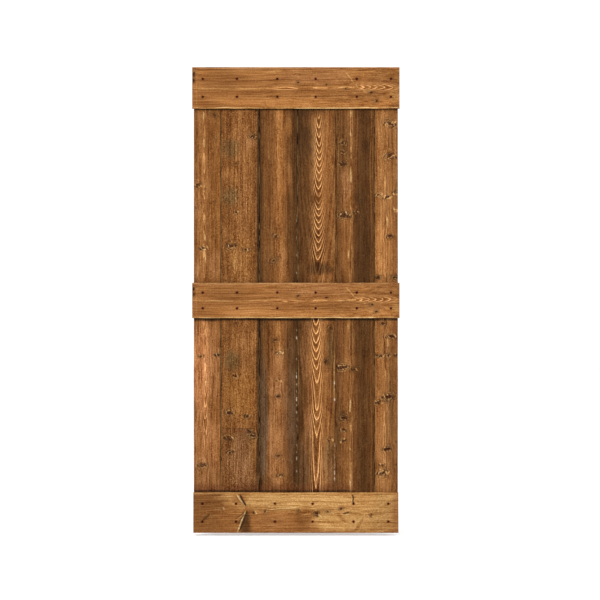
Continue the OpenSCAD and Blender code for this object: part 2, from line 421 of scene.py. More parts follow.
BOARDS["plank_4"] = dict(
    PLAIN, seed=4, ring=3.0, line=1.9, keel=0.05, warp=0.35, even=0.85, band=3.0, flame=0.6, seams=(0.6, 0.6),
    bands=[
        (0, "soot"), (10, "umber"), (30, "umber+"), (55, "walnut"), (78, "bark"), (98, "saddle-"),
        (116, "honey"), (138, "honey"), (153, "saddle"), (167, "chestnut-"), (176, "walnut-"),
    ],
    washes=[
        (28, 1840, 54, 180, "soot", 0.85), (24, 1500, 34, 260, "umber", 0.6),
        (124, 1640, 34, 170, "honey", 0.5), (60, 1500, 30, 420, "umber+", 0.35),
        (146, 1400, 24, 300, "bark", 0.5), (90, 1880, 60, 50, "bark", 0.6),
        (140, 1300, 44, 130, "bark", 0.6), (120, 1172, 44, 22, "saddle+", 0.5),
        (40, 830, 30, 170, "clay-", 0.75), (92, 640, 30, 330, "honey+", 0.6),
        (60, 700, 20, 260, "saddle+", 0.6), (154, 780, 20, 200, "bark-", 0.8),
        (122, 520, 24, 260, "saddle", 0.6), (140, 330, 30, 110, "olive+", 0.5),
        (56, 440, 34, 150, "clay-", 0.6), (110, 270, 40, 90, "clay+", 0.6),
        (28, 280, 28, 110, "slate+", 0.6), (160, 280, 18, 120, "dusk-", 0.7),
        (130, 786, 12, 22, "umber", 0.7), (146, 940, 16, 26, "walnut-", 0.6),
        # the umber oval at 1940 along is painted shade just under the top rail
        (110, 1940, 60, 20, "umber", 0.5), (158, 1500, 16, 260, "saddle", 0.5),
        (148, 850, 20, 95, "olive-", 0.5), (156, 585, 13, 44, "rust-", 0.5),
        (156, 361, 13, 34, "umber", 0.5), (60, 655, 20, 80, "rust-", 0.4), (44, 528, 13, 70, "rose-", 0.5),
        (98, 1212, 62, 32, "soot++", 0.85),
    ],
    strokes=[
        (167, 1900, 170, 1160, 2.0, "amber", 0.35), (166, 830, 168, 600, 1.8, "straw", 0.55),
        (2, 960, 2, 560, 2.0, "straw", 0.5), (1, 560, 1, 200, 1.6, "tan", 0.4),
        (164, 520, 168, 240, 1.8, "tan", 0.4), (1, 1280, 2, 1200, 1.8, "straw", 0.6),
        (87, 684, 87, 702, 3.4, "apricot+", 0.8), (86, 457, 86, 474, 3.4, "apricot+", 0.8),
    ],
    dashes=[
        # the chalk row is a painted highlight in dashes beside the right joint
        (169, 230, 760, 26, 3.2, "chalk", 0.9), (140, 560, 960, 26, 2.2, "wheat", 0.45),
        (60, 240, 500, 30, 2.2, "tan", 0.4),
    ],
    knots=[(147, 940, 8, 0.6, 0.2), (131, 786, 9, 0.7, 0.3), (150, 430, 7, 0.5, 0.4)],
    shows=[
        (92, 22, 1245, 1505, 1.1), (92, 22, 1555, 1905, 1.1), (87, 23, 190, 590, 1.4),
        (87, 23, 680, 985, 1.3), (87, 20, 600, 680, 0.8), (88, 60, 180, 1960, 0.06),
    ],
    heart=(
        [(0, 86), (1000, 86), (1300, 95), (1600, 96), (1700, 99), (2134, 99)],
        [
            (0, 85), (224, 82.5), (455, 79.5), (517, 76.5), (558, 73.5), (684, 70.5), (746, 67.5),
            (788, 64.5), (861, 58.5), (945, 52.5), (1000, 49), (1130, 94), (1252, 88.5), (1332, 82.5),
            (1453, 70.5), (1539, 61.5), (1647, 52.5), (1768, 40.5), (1894, 31.5), (2134, 20),
        ],
    ),
)
BOARDS["plank_5"] = dict(
    PLAIN, seed=5, ring=2.9, seams=(0.3, 0.75),
    bands=[
        (0, "umber+"), (6, "walnut"), (22, "walnut-"), (40, "bark+"), (58, "chestnut"), (74, "bark"),
        (92, "walnut-"), (112, "umber"), (134, "umber-"), (152, "umber+"), (165, "walnut"), (176, "umber"),
    ],
    washes=[
        (138, 1768, 22, 30, "soot", 0.55), (34, 1690, 16, 18, "umber", 0.7),
        (120, 1300, 44, 220, "soot+", 0.7), (36, 1790, 36, 150, "umber++", 0.85),
        (48, 1590, 26, 80, "clay", 0.8), (40, 1320, 34, 150, "bark+", 0.5),
        (150, 740, 26, 60, "walnut+", 0.5), (32, 540, 20, 26, "soot", 0.6),
        (110, 1540, 30, 50, "soot", 0.6), (14, 430, 12, 90, "umber", 0.6),
        (148, 520, 26, 140, "walnut", 0.35), (46, 650, 30, 90, "saddle", 0.3),
        (40, 880, 36, 80, "bark", 0.4), (110, 900, 44, 100, "umber-", 0.5), (40, 330, 40, 110, "bark", 0.5),
        (10, 900, 14, 240, "rust-", 0.5),
    ],
    strokes=[
        (68, 1935, 68, 1906, 2.4, "cream", 0.7), (68, 1842, 69, 1816, 2.2, "cream", 0.6),
        (69, 1736, 69, 1716, 2.2, "cream", 0.6), (68, 1678, 68, 1606, 3.2, "cream", 0.8),
        (68, 1590, 66, 1480, 1.5, "tan", 0.4), (66, 1440, 66, 1380, 1.5, "tan", 0.35),
        (58, 1292, 57, 1262, 2.6, "straw", 0.6), (72, 1500, 74, 1180, 1.5, "tan", 0.4),
        (55, 960, 56, 920, 2.0, "straw", 0.6), (66, 880, 64, 700, 1.8, "tan", 0.5),
        (65, 612, 65, 552, 3.0, "cream", 0.75), (65, 500, 65, 470, 2.4, "straw", 0.6),
        (64, 390, 64, 376, 2.4, "cream", 0.6), (65, 320, 66, 250, 2.4, "straw", 0.55),
        (65, 244, 66, 192, 2.8, "cream", 0.7), (82, 600, 82, 470, 1.5, "tan", 0.35),
        (10, 1900, 9, 1560, 1.8, "tan", 0.35), (158, 1930, 158, 1500, 2.2, "chestnut", 0.4),
        (82, 1460, 100, 1484, 3.0, "pitch", 0.6), (78, 768, 92, 742, 3.0, "pitch", 0.55),
    ],
    knots=[
        (32, 1790, 9, 0.7, 0.8), (32, 1745, 9, 0.7, 0.8), (32, 1694, 10, 0.85, 0.7),
        (36, 1457, 15, 0.95, 0.9), (90, 1470, 8, 0.9, 0.4), (26, 757, 15, 0.9, 0.9), (85, 748, 9, 0.9, 0.4),
        (32, 525, 12, 0.95, 0.5), (32, 471, 8, 0.8, 0.8), (32, 422, 8, 0.8, 0.8), (138, 422, 9, 0.4, 0.1),
        (54, 1452, 10, 0.9, 0.6), (46, 760, 9, 0.8, 0.7),
    ],
    shows=[(66, 12, 180, 1950, 0.3), (40, 40, 180, 1950, 0.1)],
    heart=(
        [(0, 66), (2134, 68)],
        [(0, 9), (300, 6), (600, 11), (900, 16), (1250, 7), (1640, 12), (2134, 8)],
    ),
)
BOARDS["plank_6"] = dict(
    PLAIN, seed=6, ring=2.8, seams=(0.6, 0),
    bands=[
        (0, "umber"), (5, "saddle"), (14, "honey"), (28, "amber-"), (46, "honey"), (60, "saddle-"),
        (76, "chestnut+"), (92, "saddle-"), (108, "chestnut"),
    ],
    washes=[
        (30, 1280, 44, 150, "orange", 0.7), (75, 1260, 30, 200, "honey", 0.7),
        (66, 1800, 18, 120, "chestnut", 0.6), (28, 820, 26, 60, "orange", 0.7),
        (90, 900, 26, 60, "rust", 0.6), (60, 400, 60, 160, "clay", 0.4),
        (60, 850, 50, 150, "chestnut", 0.6), (80, 780, 14, 110, "walnut", 0.6),
        (76, 590, 16, 160, "umber", 0.85), (82, 640, 24, 60, "walnut", 0.5),
        (84, 330, 22, 130, "walnut+", 0.6), (28, 470, 28, 150, "honey+", 0.6),
        (30, 270, 30, 70, "amber-", 0.4), (40, 810, 50, 16, "walnut", 0.6), (50, 1172, 60, 14, "bark", 0.6),
        (42, 958, 22, 14, "walnut", 0.6), (58, 840, 34, 60, "bark-", 0.6), (64, 480, 22, 90, "walnut", 0.6),
        (58, 622, 18, 26, "umber", 0.6),
    ],
    strokes=[
        (59, 1450, 60, 1404, 3.0, "cream", 0.7), (58, 1222, 59, 1190, 2.6, "straw", 0.6),
        (59, 905, 60, 850, 2.4, "straw", 0.6), (52, 745, 53, 700, 2.4, "straw", 0.5),
        (50, 1900, 52, 1560, 1.7, "tan", 0.5), (30, 1900, 32, 1200, 1.6, "tan", 0.3),
        (46, 1900, 48, 1600, 1.5, "bark", 0.5), (40, 560, 42, 220, 1.8, "tan", 0.45),
        (66, 560, 66, 420, 1.7, "straw", 0.5), (96, 1900, 97, 1700, 2.0, "tan", 0.4),
    ],
    knots=[
        (70, 1877, 14, 0.9, 1.0), (84, 1872, 8, 0.8, 0.7), (70, 1728, 14, 0.9, 1.0),
        (86, 1722, 8, 0.8, 0.7), (17, 1549, 9, 0.6, 1.0), (56, 1538, 10, 0.8, 1.0), (99, 1556, 9, 0.6, 1.0),
        (98, 1478, 8, 0.3, 0.9), (72, 1359, 10, 1.0, 0.5), (17, 1173, 9, 1.0, 0.4),
        (91, 1173, 10, 1.0, 0.5), (40, 959, 9, 0.9, 0.3), (79, 901, 11, 1.0, 0.8), (52, 895, 5, 0.9, 0.3),
        (11, 811, 7, 1.0, 0.6), (33, 809, 8, 1.0, 0.4), (62, 811, 8, 0.9, 0.4), (101, 815, 7, 1.0, 0.4),
        (62, 620, 16, 1.0, 0.7), (18, 599, 10, 0.9, 1.0), (59, 384, 12, 1.0, 0.5), (36, 310, 8, 0.6, 0.9),
        (40, 275, 14, 0.85, 1.0), (101, 416, 4, 0.9, 0.2), (101, 310, 4, 0.9, 0.2),
    ],
    shows=[(52, 26, 180, 1950, 0.55)],
    heart=([(0, 48), (2134, 50)], [(0, 14), (400, 8), (900, 15), (1400, 7), (1800, 12), (2134, 8)]),
)
BOARDS["top_rail"] = dict(
    PLAIN, seed=7, ring=3.1, keel=0.05, streak=2.1, flame=0.5, cloud=0.3, speckle=0.4,
    bands=[
        (0, "honey"), (8, "amber+"), (24, "orange"), (36, "amber+"), (50, "amber"), (68, "honey"),
        (84, "honey"), (96, "amber"), (114, "honey"), (132, "honey"), (152, "amber"), (172, "amber"),
        (184, "clay+"), (190, "clay"),
    ],
    washes=[
        (15, 105, 16, 90, "chestnut+", 0.7), (30, 50, 30, 70, "honey", 0.7),
        (140, 150, 50, 100, "saddle", 0.75), (110, 140, 30, 70, "saddle", 0.7),
        (150, 560, 36, 180, "rose-", 0.6), (135, 880, 60, 80, "saddle", 0.75),
        (60, 700, 40, 120, "honey-", 0.6), (60, 830, 20, 40, "saddle", 0.5), (60, 930, 34, 24, "tan", 0.6),
        (8, 925, 14, 24, "bark", 0.5), (145, 930, 40, 30, "chestnut", 0.5),
        (14, 940, 20, 14, "chestnut", 0.5),
    ],
    strokes=[
        # the first two strokes are painted highlights along the eased lower and upper arrises; the middle
        # rail is drawn from these too
        (3.5, 4, 3.5, 946, 2.4, "cream", 0.8), (187, 4, 187, 946, 2.0, "wheat", 0.4),
        (167, 704, 115, 744, 2.0, "straw", 0.75), (115, 744, 72, 799, 1.8, "straw", 0.6),
        (93, 6, 90, 190, 1.6, "straw", 0.6), (89, 190, 95, 372, 1.5, "straw", 0.45),
        (85, 20, 85, 200, 1.8, "bark", 0.5), (98, 120, 103, 372, 1.8, "bark", 0.4),
        (84, 300, 82, 372, 1.6, "bark", 0.4), (103, 480, 104, 560, 1.8, "bark", 0.45),
        (84, 470, 82, 560, 1.8, "bark", 0.45), (56, 300, 58, 940, 2.2, "bark+", 0.4),
        (150, 30, 140, 330, 2.4, "bark+", 0.35), (96, 556, 95, 622, 3.2, "apricot+", 0.9),
        (96, 668, 99, 750, 2.6, "apricot+", 0.75), (168, 330, 170, 470, 1.6, "wheat", 0.35),
        (165, 470, 158, 640, 1.5, "wheat", 0.3), (42, 40, 48, 300, 1.5, "wheat", 0.3),
        (178, 20, 8, 20, 2.2, "wheat", 0.35), (64, 460, 58, 800, 1.6, "bark", 0.35),
    ],
    knots=[
        (119, 485, 6, 1.0, 0.1, 75), (110, 616, 5, 1.0, 0.1, 85), (92, 704, 5, 0.9, 0.2, 80),
        (74, 822, 8, 1.0, 0.2, 80), (34, 842, 8, 1.0, 0.1, 70), (157, 7, 9, 1.0, 0.3),
        (129, 7, 8, 1.0, 0.3),
    ],
    shows=[(95, 11, 380, 480, 0.9), (99, 15, 760, 930, 1.0), (95, 70, 10, 940, 0.08)],
    heart=(
        [(0, 86), (300, 88), (600, 94), (950, 99)],
        [(0, 12), (300, 13), (430, 8), (520, 12), (600, 8), (700, 11), (790, 20), (950, 36)],
    ),
)
BOARDS["bottom_rail"] = dict(
    PLAIN, seed=8, ring=4.2, streak=1.3, flame=0.6, cloud=0.4, speckle=0.45,
    bands=[
        (0, "saddle+"), (14, "amber"), (60, "amber"), (96, "orange-"), (112, "tan"), (135, "wheat"),
        (172, "wheat"), (180, "orange"), (185, "amber"),
    ],
    washes=[
        (60, 800, 76, 220, "tan", 0.75), (90, 50, 140, 140, "saddle-", 0.9), (140, 50, 50, 90, "bark", 0.8),
        (75, 160, 70, 50, "honey", 0.6), (160, 215, 40, 40, "saddle+", 0.7),
        (45, 242, 60, 26, "umber", 0.95), (105, 250, 20, 20, "honey", 0.5),
        (140, 420, 46, 170, "wheat", 0.6), (52, 370, 46, 120, "honey+", 0.6),
        (118, 520, 20, 24, "honey", 0.5), (50, 505, 46, 44, "bark+", 0.8),
        # the pale wheat ovals low on the rail at 650 and 770 along are a painted sheen
        (48, 650, 50, 110, "wheat+", 0.95), (110, 680, 18, 24, "honey", 0.6),
        (150, 560, 40, 170, "wheat+", 0.6), (50, 770, 54, 70, "wheat", 0.85),
        (150, 780, 50, 80, "tan+", 0.8), (90, 865, 120, 60, "wheat-", 0.7),
        (90, 935, 120, 24, "clay+", 0.8), (120, 700, 60, 160, "wheat+", 0.35),
        (52, 350, 30, 90, "clay+", 0.4),
    ],
    strokes=[
        # the first stroke is a painted highlight along the top arris, the second a darker line along the
        # lower arris
        (182, 3, 182, 937, 2.4, "straw", 0.6), (2, 3, 2, 937, 2.0, "saddle", 0.5),
        (176, 199, 121, 237, 3.0, "cream", 0.95), (175, 214, 121, 242, 4.6, "pitch", 0.85),
        (170, 194, 128, 232, 1.6, "soot", 0.6), (121, 238, 100, 242, 2.6, "bark", 0.5),
        (102, 241, 4, 202, 3.2, "cream", 0.95), (98, 246, 10, 212, 5.0, "pitch", 0.7),
        (92, 248, 46, 240, 8.0, "soot", 0.6), (96, 236, 62, 190, 2.2, "soot", 0.6),
        (92, 238, 66, 208, 1.8, "cream", 0.5), (88, 234, 40, 202, 3.0, "umber", 0.6),
        (107, 333, 117, 480, 2.2, "cream", 0.75), (78, 493, 97, 562, 2.0, "straw", 0.6),
        (176, 728, 158, 735, 3.2, "pitch", 0.85), (158, 735, 146, 731, 3.2, "pitch", 0.85),
        (146, 731, 132, 736, 3.2, "pitch", 0.8), (170, 724, 140, 726, 1.6, "cream", 0.5),
        # painted light across the lower right: the two saddle+ strokes are painted shadows and the next three
        # straw strokes a painted sheen
        (92, 660, 52, 694, 8.0, "saddle+", 0.6), (8, 742, 66, 778, 7.0, "saddle+", 0.6),
        (36, 738, 84, 786, 5.0, "straw-", 0.7), (60, 552, 80, 640, 6.0, "straw-", 0.5),
        (100, 720, 84, 800, 3.0, "straw", 0.4), (104, 270, 106, 560, 3.0, "honey-", 0.4),
        (99, 284, 85, 290, 4.2, "cream", 0.8), (104, 338, 89, 327, 4.0, "cream", 0.7),
        (103, 487, 91, 477, 3.6, "cream", 0.7), (86, 574, 72, 586, 4.4, "cream", 0.9),
        (95, 626, 90, 644, 3.4, "cream", 0.6), (79, 690, 86, 718, 3.6, "cream", 0.7),
        (119, 136, 107, 141, 3.6, "cream", 0.6), (87, 806, 81, 826, 3.6, "straw", 0.6),
        (88, 686, 96, 718, 3.6, "soot", 0.75), (60, 44, 86, 76, 5.0, "soot", 0.7),
    ],
    knots=[
        (94, 276, 6, 1.0, 0.2), (90, 564, 11, 1.0, 0.4, 60), (97, 616, 8, 1.0, 0.3, 80),
        (110, 676, 7, 1.0, 0.2, 80), (97, 329, 6, 0.8, 0.2), (97, 480, 6, 0.7, 0.2),
        (114, 132, 6, 0.7, 0.2), (84, 814, 7, 0.5, 0.4),
    ],
    shows=[(110, 80, 10, 940, 0.1)],
    heart=([(0, 92), (950, 100)], [(0, 30), (250, 24), (520, 34), (950, 20)]),
)


def narrowed(board, share, seed):
    """The same board sawn narrower: everything across it drawn in by that share."""
    across = {"bands": (0,), "washes": (0, 2), "strokes": (0, 2), "knots": (0,), "shows": (0, 1)}

    def drawn_in(row, columns):
        return tuple(value * share if column in columns else value for column, value in enumerate(row))

    places, depths = board["heart"]
    result = dict(board, seed=seed, heart=([(along, v * share) for along, v in places], depths))
    for key, columns in across.items():
        result[key] = [drawn_in(row, columns) for row in board[key]]
    return result


MIDDLE_SHARE = 162 / 190  # the middle rail's height as a share of the top rail's
BOARDS["middle_rail"] = narrowed(BOARDS["top_rail"], MIDDLE_SHARE, seed=9)

# ---- smooth noise and soft shapes


def lattice(i, j, k, seed):
    """A repeatable number from 0 to 1 for each whole-numbered point."""
    h = (i * 374761393 + j * 668265263 + k * 1440662683 + seed * 987643121) & 0xFFFFFFFF
    h = ((h ^ (h >> 13)) * 1274126177) & 0xFFFFFFFF
    return ((h ^ (h >> 16)) & 0xFFFF) / 65535.0


def noise(points, sizes, seed):
    """Smooth noise from 0 to 1 at points, with blobs of the given size along each axis."""
    cells = points / np.asarray(sizes, float)
    low = np.floor(cells).astype(np.int64)
    part = cells - low
    part = part * part * (3 - 2 * part)
    value = np.zeros(len(points))
    for corner in np.ndindex(2, 2, 2):
        weight = np.prod(np.where(corner, part, 1 - part), axis=1)
        value += weight * lattice(*(low + corner).T, seed)
    return value


def face_noise(p, cross, along, seed):
    """Noise from 0 to 1 over a board's face, the same all the way through the board."""
    return noise(p * (1, 0, 1), (cross, 1, along), seed)


def swing(p, cross, along, seed, amount):
    """The same noise, swinging by amount round nought."""
    return (face_noise(p, cross, along, seed) - 0.5) * amount


def smooth(value, low, high):
    """0 up to low and 1 from high on, with a soft slope between."""
    share = np.clip((value - low) / (high - low), 0, 1)
    return share * share * (3 - 2 * share)


def bell(distance, width):
    """1 at no distance or less, falling softly to nothing over about twice the width."""
    return np.exp(-((np.maximum(distance, 0) / width) ** 2))


def along_profile(points, along):
    """The value at each place along a board, straight between points with the corners rounded."""
    places, values = zip(*points)
    return sum(np.interp(along + shift, places, values) for shift in (-12, -4, 4, 12)) / 4


# ---- what a board looks like

# the painted shadow of the rails gives out between these depths too, so it stays on the front
FRONT_FADE = (5, 13)  # the depths between which the stains of the front give out
EDGE_FADE = 12  # how near a board's edge its bands stop swaying
KNOT_WIDE, KNOT_HIGH = 1.3, 0.75  # half sizes of a knot's oval, in radii
FAR_OFF = 6.0  # the distance read where no knot is near, in radii
PUSH, PUSH_REACH = 0.85, 3.5  # how hard a knot pushes the grain aside, and how many radii off
FINGER_GAP, FINGER_HALF = 6.4, 3.7  # between the torn strokes at a knot, and half their width
SEAM_WIDTH, SEAM_DEPTH = 2.2, 6  # the dirt beside a joint
HOLE_RIM, RIM_FADE = 4.2, 2.1  # the stained wood round a screw's head
RIM_TAKES = (0.5, 0.88, 0.97)  # how much of the red, green and blue it takes away
PLAIN_GLOW = 0.03  # how far the pale ring lines show everywhere
SHOW_FADE = 25  # how softly they come and go along the grain
WEAR, WEAR_WIDTH = 0.3, 1.6  # pale wood where a front edge is worn


def lay(tone, name, share):
    """Stains the tone in place by a share from 0 to 1."""
    tone += (stain(name) - tone) * share[:, None]


def dashes(across, low, high, pitch, half, name, strength, seed):
    """Short strokes in an uneven row along the grain."""
    for number in range(round((high - low) / pitch)):
        start, share, weight = (float(lattice(number, k, 7, seed)) for k in range(3))
        g = low + (number + 0.5 * start) * pitch
        end = g + (0.1 + 0.6 * share * weight) * pitch
        if weight > 0.25:
            yield (across + share - weight, g, across, end, half, name, strength * (0.35 + 0.65 * weight))


def fingers(knots, seed):
    """The torn, slanting grain at the lively knots: dark and pale strokes side by side."""
    for number, (a, g, radius, darkness, strength, *_) in enumerate(knots):
        if strength < 0.35:
            continue
        side = 1 if lattice(number, 1, 3, seed) > 0.5 else -1
        count = 3 + round(4 * strength * radius / 12)
        for k in range(count):
            lift, reach = (float(lattice(number, k, axis, seed)) for axis in (5, 6))
            lean = math.radians(side * (28 + 40 * lift))
            half_run = radius * (0.5 + 0.5 * reach)
            across, along = a + (k - (count - 1) / 2) * FINGER_GAP, g + (lift - 0.5) * 10
            run, rise = half_run * math.cos(lean), half_run * math.sin(lean)
            name, share = ("pitch+", 0.9 * darkness) if k % 2 == 0 else ("apricot++", 0.6 + 0.4 * strength)
            yield (across - run, along - rise, across + run, along + rise, FINGER_HALF, name, share)


def stroke_cover(across, along, sway, a0, g0, a1, g1, half):
    """How far a soft line from (a0, g0) to (a1, g1) covers each point, 0 to 1."""
    run_a, run_g = a1 - a0, g1 - g0
    length = max(math.hypot(run_a, run_g), 1e-6)
    t = np.clip(((across - a0) * run_a + (along - g0) * run_g) / length**2, 0, 1)
    off = np.hypot(across - a0 - t * run_a + sway, along - g0 - t * run_g)
    taper = np.minimum(1, 4 * np.minimum(t, 1 - t) + 0.35)
    return 1 - smooth(off / (half * taper), 0.5, 1.5)


def paint(board, p):
    """The stain colour at points p = (across, deep, along) of a board, with the painted shadow of the rails,
    before its grain.
    """
    seed = board["seed"]
    across, deep, along = p.T
    front = 1 - smooth(deep, *FRONT_FADE)
    sway = swing(p, 60, 260, seed, 12) + swing(p, 14, 60, seed + 20, 5)
    places, names = zip(*board["bands"])
    colours = np.array([stain(name) for name in names])
    fade = np.clip(np.minimum(across, places[-1] - across) / EDGE_FADE, 0, 1)
    tone = np.stack([np.interp(across + sway * fade, places, channel) for channel in colours.T], 1)
    if board["step"]:
        place, name, strength = board["step"]
        below = strength * smooth(place - along + swing(p, 9, 1, seed + 5, 4), -2.5, 2.5) * front
        tone += (np.minimum(tone, stain(name)) - tone) * below[:, None]

    edge = swing(p, 22, 40, seed + 30, 0.9) + swing(p, 7, 14, seed + 31, 0.5)
    for a, g, half_a, half_g, name, strength in board["washes"]:
        far = ((across - a) / half_a) ** 2 + ((along - g) / half_g) ** 2
        cover = 1 - smooth(far + edge * np.minimum(far, 1.0), 0.1, 1.5)
        lay(tone, name, strength * cover * (0.3 + 0.7 * front))

    sway = swing(p, 30, 50, seed + 40, 4)
    strokes = board["strokes"] + [stroke for row in board["dashes"] for stroke in dashes(*row, seed)]
    strokes += fingers(board["knots"], seed)
    for *line, name, strength in strokes:
        lay(tone, name, strength * stroke_cover(across, along, sway, *line))
    # painted shadow of the rails: dark lines across the front of the planks
    for g, reach, half, name, strength in board["grime"]:
        off = np.hypot(along - g + sway, np.maximum(across - reach, 0))
        lay(tone, name, strength * front * (1 - smooth(off / half, 0.5, 1.5)))
    return tone


def knot_field(board, p):
    """How far the grain is pushed aside at points p, and each point's nearest knot:
    its distance in knot radii, its darkness and how strongly the grain shows round it."""
    across, along = p[:, 0], p[:, 2]
    push = np.zeros(len(p))
    nearest = np.full((len(p), 3), (FAR_OFF, 0.0, 0.0))
    for number, (a, g, radius, darkness, strength, *tilt) in enumerate(board["knots"]):
        lean = math.radians(tilt[0] if tilt else (number * 47) % 50 - 25)
        da, dg = across - a, along - g
        wide = (da * math.cos(lean) + dg * math.sin(lean)) / (KNOT_WIDE * radius)
        high = (dg * math.cos(lean) - da * math.sin(lean)) / (KNOT_HIGH * radius)
        far = np.hypot(wide, high)
        inside = np.minimum(1, 1 / np.maximum(far, 1e-6) ** 2)
        push -= da * inside * bell(far - 1, PUSH_REACH) * PUSH
        closer = far < nearest[:, 0]
        nearest[closer, 0] = far[closer]
        nearest[closer, 1:] = darkness, strength
    return push, nearest


def dirtied(tone, board, p, width, knots, screws):
    """The tone with the dark halos of its knots, the dirt in its joints and the rims of its screws."""
    across, deep, along = p.T
    halo = knots[:, 1] * bell(knots[:, 0] - 0.8, 0.9)
    left, right = board["seams"]
    seam = left * bell(across, SEAM_WIDTH) + right * bell(width - across, SEAM_WIDTH)
    tone = tone * (1 - 0.22 * halo)[:, None] * (1 - seam * (deep < SEAM_DEPTH))[:, None]
    for a, g in screws:
        rim = bell(np.hypot(across - a, along - g) - HOLE_RIM, RIM_FADE)
        tone = tone * (1 - rim[:, None] * RIM_TAKES)
    return tone


def marks_on(board, p, width):
    """How far the pale ring lines, the wear of the edges and the specks show at points p."""
    across, deep, along = p.T
    glow = np.full(len(p), PLAIN_GLOW)
    for a, half, low, high, strength in board["shows"]:
        starts = smooth(along, low - SHOW_FADE, low + SHOW_FADE)
        ends = smooth(along, high - SHOW_FADE, high + SHOW_FADE)
        glow += strength * starts * (1 - ends) * bell(np.abs(across - a), half)
    inside = np.minimum(across, width - across)
    ragged = smooth(face_noise(p, 9, 26, board["seed"] + 60), 0.3, 0.75)
    wear = bell(inside, WEAR_WIDTH) * (deep < 4) * ragged * WEAR
    return np.column_stack([glow, wear, np.full(len(p), board["speckle"])])


def fields(board, p, width, screws):
    """What the wood's shader reads at points p of a board of that width on its face, with the
    (across, along) of each screw in it: the place round the tree's heart, in metres, the tone
    and how steeply the rings are cut, the nearest knot, and the marks."""
    across, deep, along = p.T
    push, knots = knot_field(board, p)
    places, depths = board["heart"]
    wander = (noise(p * (0, 0, 1), (1, 1, 170), board["seed"] + 50) - 0.5) * 6
    aside = across + push - along_profile(places, along) - wander
    down = deep - along_profile(depths, along)
    bend = (along_profile(depths, along + 4) - along_profile(depths, along - 4)) / 8
    far = np.maximum(np.hypot(aside, down), 0.5)
    steep = np.hypot(np.abs(aside) / far + board["keel"], down * bend / far)
    tone = dirtied(paint(board, p), board, p, width, knots, screws)
    return {
        "heart": np.column_stack([aside, down, along]) * MM,
        "tone": np.column_stack([linear(tone) * STAIN_DEPTH, steep]),
        "knots": knots,
        "marks": marks_on(board, p, width),
    }


# ---- the wood's shader

PORE = (0.05, 0.026, 0.012, 1)
KNOT_HEART, KNOT_WOOD = (0.016, 0.003, 0.001, 1), (0.06, 0.020, 0.006, 1)
DARK_CURL = (0.032, 0.010, 0.003, 1)
WOOD_INDEX = 1.1
WOOD_RELIEF = 0.00035


def growth_rings(n, heart, steep, board):
    """The number of rings out from the heart, the place from 0 to 1 within a ring, and how
    plainly the ring's pale line shows."""
    broad_warp = n.around(n.grain(heart, 22, 2.4, 1), 0.007 * board["warp"])
    fine_warp = n.around(n.grain(heart, 120, 26), 0.0022 * board["warp"])
    away = n.add("VectorMath", n.stretch(heart, 1, 1, 0), operation="LENGTH", output=1)
    keel = n.times(n.math("ABSOLUTE", n.parts(heart)[0]), board["keel"])
    rings = n.math("DIVIDE", n.total(away, broad_warp, fine_warp, keel), board["ring"] * MM)
    part = n.math("FRACT", rings)
    # the pale lines are as thick across a slanting cut as across a square one
    thick = n.math("MINIMUM", n.times(steep, board["line"] / board["ring"]), 0.2)
    off_line = n.math("DIVIDE", n.math("ABSOLUTE", n.math("SUBTRACT", part, 0.5)), thick)
    which = n.add("TexWhiteNoise", None, n.math("FLOOR", rings), noise_dimensions="1D")
    ring_share = n.span(which, 0.0, 1.0, board["even"], 1.0)
    break_up = n.span(n.grain(heart, 300, 40), 0.35, 0.6, 0.35, 1.0)
    return rings, part, n.times(n.span(off_line, 0.6, 1.35, 1.0, 0.0), n.times(ring_share, break_up))


def stain_swing(n, heart, rings, part, late, fibre, speckle, board):
    """How much darker or lighter than its tone the wood is: fibres and drifts of stain along
    the grain, specks, and rings that took more stain than others."""
    early = n.curve(part, [(0.0, 0.8), (0.2, 0.1), (0.7, 0.0), (0.78, 1.0), (1.0, 0.8)])
    thirst = n.add("TexNoise", None, n.times(rings, 0.42), 1.0, noise_dimensions="1D")
    value = n.total(
        n.around(fibre, 0.75),
        n.around(n.grain(heart, 230, 3.5, 2, 0.6), board["streak"]),
        n.around(n.grain(heart, 120, 17, 2, 0.6), board["flame"]),
        n.around(n.grain(heart, 45, 4.0), 0.4),
        n.around(n.grain(heart, 30, 13, 2, 0.6), board["cloud"]),
        n.times(n.around(n.grain(heart, 240, 160, 2, 0.7), 3.1), speckle),
        n.around(thirst, 1.0),
        n.times(early, -0.10 * board["band"]),
        n.times(late, 0.10),
        1.0,
    )
    dots = n.span(n.grain(heart, 230, 150, 2, 0.7), 0.56, 0.68)
    value = n.total(value, n.times(n.math("SUBTRACT", dots, 0.12), speckle))
    value = n.math("MAXIMUM", value, 0.3)
    return n.add("CombineColor", *(n.math("POWER", value, power) for power in (0.9, 1.25, 1.8)))


def knotted(n, wood, heart, knots):
    """The wood with its knots: small ragged dark cores, each in broken pale and dark curls of
    grain. Gives the wood and where the cores are."""
    distance, darkness, swirl = knots
    fine, broad = n.grain(heart, 330, 210, 3, 0.7), n.grain(heart, 75, 60, 1)
    reach = n.total(distance, n.around(fine, 1.2), n.around(broad, 1.6))
    core = n.times(n.span(reach, 0.85, 0.4), darkness)
    zone = n.curve(n.math("DIVIDE", reach, 5.0), [(0.08, 0.0), (0.2, 1.0), (0.34, 0.7), (0.6, 0.0)])
    zone = n.times(zone, swirl)
    curls = n.math("SINE", n.times(reach, 8.0))
    dark = n.times(n.span(curls, 0.0, -0.8), zone)
    pale = n.times(n.span(curls, 0.1, 0.9), n.times(zone, n.span(n.grain(heart, 85, 60), 0.46, 0.58)))
    wood = n.mix(n.times(dark, 0.6), wood, DARK_CURL)
    wood = n.mix(n.times(pale, 0.45), wood, node_colour("wheat"))
    core_colour = n.mix(n.span(n.grain(heart, 700, 500), 0.4, 0.65), KNOT_HEART, KNOT_WOOD)
    return n.mix(core, wood, core_colour), core


